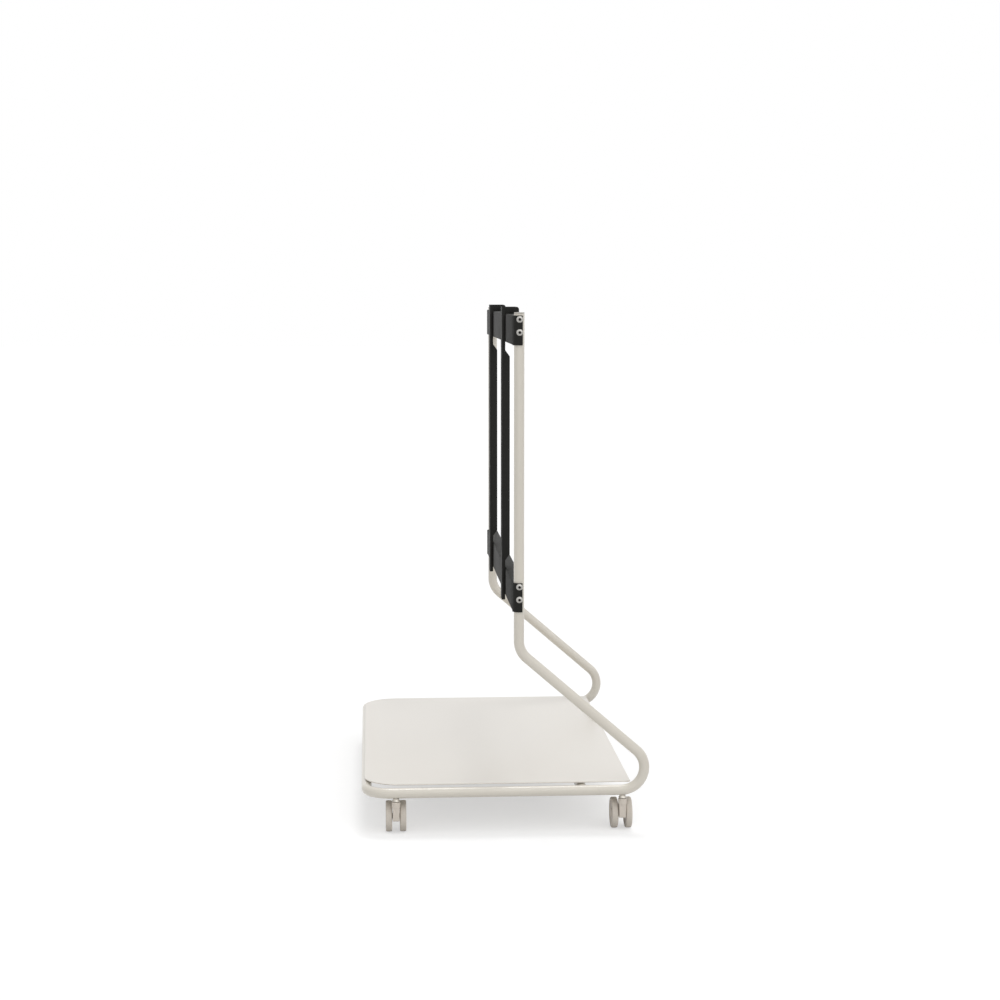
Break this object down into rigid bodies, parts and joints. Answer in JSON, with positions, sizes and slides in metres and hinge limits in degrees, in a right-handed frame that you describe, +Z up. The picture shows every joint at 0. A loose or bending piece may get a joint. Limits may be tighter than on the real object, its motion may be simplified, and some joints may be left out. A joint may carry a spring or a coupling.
{
  "type": "rolling floor stand for a flat screen",
  "caption": "Rolling floor stand for a large flat screen: bent round-tube frame on swivel casters, with a steel shelf plate and cross beams that carry hook-on screen arms.",
  "frame": {"origin": "on the floor, at the centre of the overall footprint", "axes": "+Z up, -Y towards the viewer of the screen (front), +X to the right as seen from the front"},
  "size_m": [0.8662, 0.5575, 1.0125],
  "materials": {
    "frame_paint": "satin powder coat, warm greige",
    "plate_paint": "smooth satin powder coat, warm greige",
    "cap_plastic": "matte",
    "caster_plastic": "moulded, matte, warm grey",
    "tread_rubber": "soft, warm grey",
    "black_paint": "fine textured black powder coat",
    "plain_steel": "zinc plated",
    "bright_steel": "bright nickel plated"
  },
  "bodies": {
    "frame": {"base_frame": "frame_paint", "rear_crossbar": "frame_paint", "right_upright": "frame_paint", "right_joint_sleeve": "plain_steel", "right_joint_screw": "plain_steel", "right_end_cap": "cap_plastic", "left_upright": "frame_paint", "left_joint_sleeve": "plain_steel", "left_joint_screw": "plain_steel", "left_end_cap": "cap_plastic", "shelf_plate": "plate_paint", "front_right_shelf_screw": "plain_steel", "front_left_shelf_screw": "plain_steel", "rear_right_shelf_screw": "plain_steel", "rear_left_shelf_screw": "plain_steel", "front_right_stem": "plain_steel", "front_left_stem": "plain_steel", "rear_right_stem": "plain_steel", "rear_left_stem": "plain_steel", "upper_beam": "black_paint", "upper_right_saddle": "black_paint", "upper_right_bolt_1": "bright_steel", "upper_right_bolt_2": "bright_steel", "upper_left_saddle": "black_paint", "upper_left_bolt_1": "bright_steel", "upper_left_bolt_2": "bright_steel", "lower_beam": "black_paint", "lower_right_saddle": "black_paint", "lower_right_bolt_1": "bright_steel", "lower_right_bolt_2": "bright_steel", "lower_left_saddle": "black_paint", "lower_left_bolt_1": "bright_steel", "lower_left_bolt_2": "bright_steel"},
    "front_right_swivel": {"front_right_yoke": "caster_plastic", "front_right_axle": "plain_steel"},
    "front_right_wheel_a": {"front_right_wheel_a": "caster_plastic", "front_right_tread_a": "tread_rubber"},
    "front_right_wheel_b": {"front_right_wheel_b": "caster_plastic", "front_right_tread_b": "tread_rubber"},
    "front_left_swivel": {"front_left_yoke": "caster_plastic", "front_left_axle": "plain_steel"},
    "front_left_wheel_a": {"front_left_wheel_a": "caster_plastic", "front_left_tread_a": "tread_rubber"},
    "front_left_wheel_b": {"front_left_wheel_b": "caster_plastic", "front_left_tread_b": "tread_rubber"},
    "rear_right_swivel": {"rear_right_yoke": "caster_plastic", "rear_right_axle": "plain_steel"},
    "rear_right_wheel_a": {"rear_right_wheel_a": "caster_plastic", "rear_right_tread_a": "tread_rubber"},
    "rear_right_wheel_b": {"rear_right_wheel_b": "caster_plastic", "rear_right_tread_b": "tread_rubber"},
    "rear_left_swivel": {"rear_left_yoke": "caster_plastic", "rear_left_axle": "plain_steel"},
    "rear_left_wheel_a": {"rear_left_wheel_a": "caster_plastic", "rear_left_tread_a": "tread_rubber"},
    "rear_left_wheel_b": {"rear_left_wheel_b": "caster_plastic", "rear_left_tread_b": "tread_rubber"},
    "right_arm": {"right_arm": "black_paint"},
    "left_arm": {"left_arm": "black_paint"}
  },
  "joints": [
    {"name": "front_right_swivel", "type": "hinge", "parent": "frame", "child": "front_right_swivel", "pos_m": [0.4165, -0.2123, 0.064], "axis": [0, 0, 1], "continuous": true},
    {"name": "front_right_roll_a", "type": "hinge", "parent": "front_right_swivel", "child": "front_right_wheel_a", "pos_m": [0.3905, -0.2123, 0.03], "axis": [0, 1, 0], "continuous": true},
    {"name": "front_right_roll_b", "type": "hinge", "parent": "front_right_swivel", "child": "front_right_wheel_b", "pos_m": [0.3905, -0.2123, 0.03], "axis": [0, 1, 0], "continuous": true},
    {"name": "front_left_swivel", "type": "hinge", "parent": "frame", "child": "front_left_swivel", "pos_m": [-0.4165, -0.2123, 0.064], "axis": [0, 0, 1], "continuous": true},
    {"name": "front_left_roll_a", "type": "hinge", "parent": "front_left_swivel", "child": "front_left_wheel_a", "pos_m": [-0.3905, -0.2123, 0.03], "axis": [0, 1, 0], "continuous": true},
    {"name": "front_left_roll_b", "type": "hinge", "parent": "front_left_swivel", "child": "front_left_wheel_b", "pos_m": [-0.3905, -0.2123, 0.03], "axis": [0, 1, 0], "continuous": true},
    {"name": "rear_right_swivel", "type": "hinge", "parent": "frame", "child": "rear_right_swivel", "pos_m": [0.4165, 0.227, 0.064], "axis": [0, 0, 1], "continuous": true},
    {"name": "rear_right_roll_a", "type": "hinge", "parent": "rear_right_swivel", "child": "rear_right_wheel_a", "pos_m": [0.3905, 0.227, 0.03], "axis": [0, 1, 0], "continuous": true},
    {"name": "rear_right_roll_b", "type": "hinge", "parent": "rear_right_swivel", "child": "rear_right_wheel_b", "pos_m": [0.3905, 0.227, 0.03], "axis": [0, 1, 0], "continuous": true},
    {"name": "rear_left_swivel", "type": "hinge", "parent": "frame", "child": "rear_left_swivel", "pos_m": [-0.4165, 0.227, 0.064], "axis": [0, 0, 1], "continuous": true},
    {"name": "rear_left_roll_a", "type": "hinge", "parent": "rear_left_swivel", "child": "rear_left_wheel_a", "pos_m": [-0.3905, 0.227, 0.03], "axis": [0, 1, 0], "continuous": true},
    {"name": "rear_left_roll_b", "type": "hinge", "parent": "rear_left_swivel", "child": "rear_left_wheel_b", "pos_m": [-0.3905, 0.227, 0.03], "axis": [0, 1, 0], "continuous": true},
    {"name": "right_arm_slide", "type": "slide", "parent": "frame", "child": "right_arm", "axis": [1, 0, 0], "range_m": [-0.1, 0.1]},
    {"name": "left_arm_slide", "type": "slide", "parent": "frame", "child": "left_arm", "axis": [1, 0, 0], "range_m": [-0.1, 0.1]}
  ]
}
